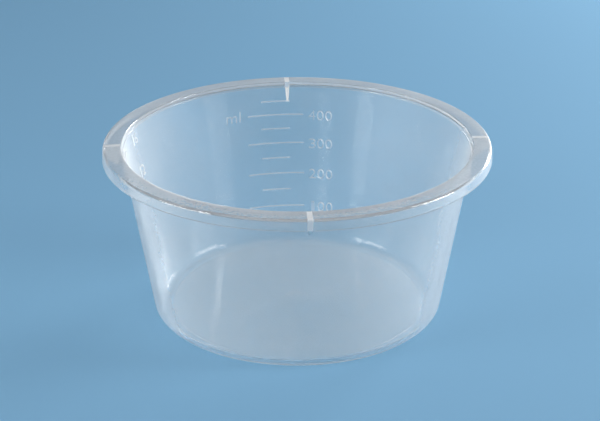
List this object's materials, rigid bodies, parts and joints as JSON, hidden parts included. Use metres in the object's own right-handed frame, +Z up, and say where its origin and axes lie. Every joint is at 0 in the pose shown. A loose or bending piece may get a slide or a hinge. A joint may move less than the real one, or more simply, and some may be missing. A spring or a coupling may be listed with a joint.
{
  "type": "graduated round bowl",
  "caption": "Round tapered bowl for liquids and swabs, translucent, with a turned-down rim, stacking ribs under it and volume scales inside the wall",
  "frame": {"origin": "centre of the foot, on the surface that the bowl stands on", "axes": "+Z up along the bowl's axis, out of its mouth; the four stacking ribs lie on +X, -X, +Y and -Y; the millilitre scale is inside the wall at +Y and the fluid ounce scale at -X"},
  "size_m": [0.131, 0.131, 0.0605],
  "materials": {
    "polypropylene": "translucent natural polypropylene, smooth, slightly milky"
  },
  "bodies": {
    "root": {"bowl": "polypropylene"}
  },
  "joints": []
}
